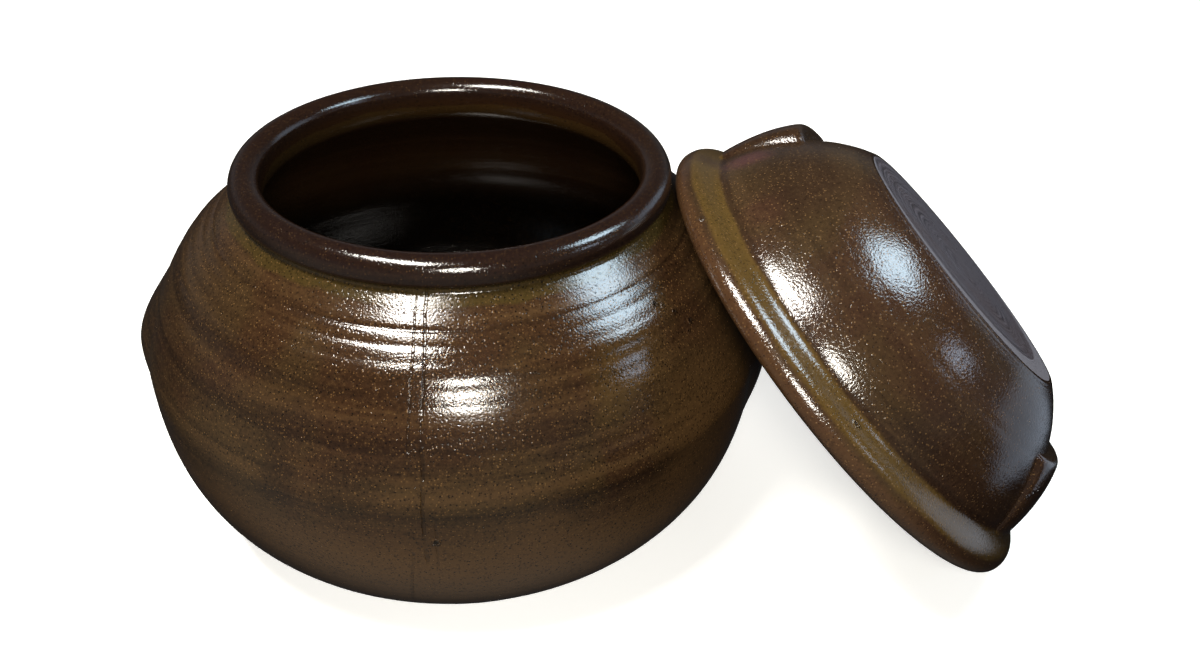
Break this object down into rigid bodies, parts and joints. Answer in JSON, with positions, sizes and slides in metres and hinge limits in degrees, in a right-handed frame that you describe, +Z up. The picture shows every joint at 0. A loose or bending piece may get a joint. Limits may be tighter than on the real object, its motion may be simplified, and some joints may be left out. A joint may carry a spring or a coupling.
{
  "type": "lidded fermentation crock",
  "caption": "Round-bellied glazed stoneware crock standing open, with a bowl-shaped flat-topped lid leaning on its rim; both have small lug ears.",
  "frame": {"origin": "centre of the jar's flat base, on the floor", "axes": "+Z up along the jar's axis; -Y is the side that faces the camera; the lid leans on the +X side"},
  "size_m": [0.3846, 0.2724, 0.1646],
  "materials": {
    "jar_glaze": "glossy speckled brown glaze over stoneware",
    "lid_glaze": "glossy speckled brown glaze, bare trimmed flat top"
  },
  "bodies": {
    "jar": {"jar_body": "jar_glaze", "jar_ear_left": "jar_glaze", "jar_ear_right": "jar_glaze"},
    "lid": {"lid_bowl": "lid_glaze", "lid_ear_upper": "lid_glaze", "lid_ear_lower": "lid_glaze"}
  },
  "joints": [
    {"name": "lid_lift", "type": "slide", "parent": "jar", "child": "lid", "axis": [0, 0, 1], "range_m": [0, 0.22]}
  ]
}
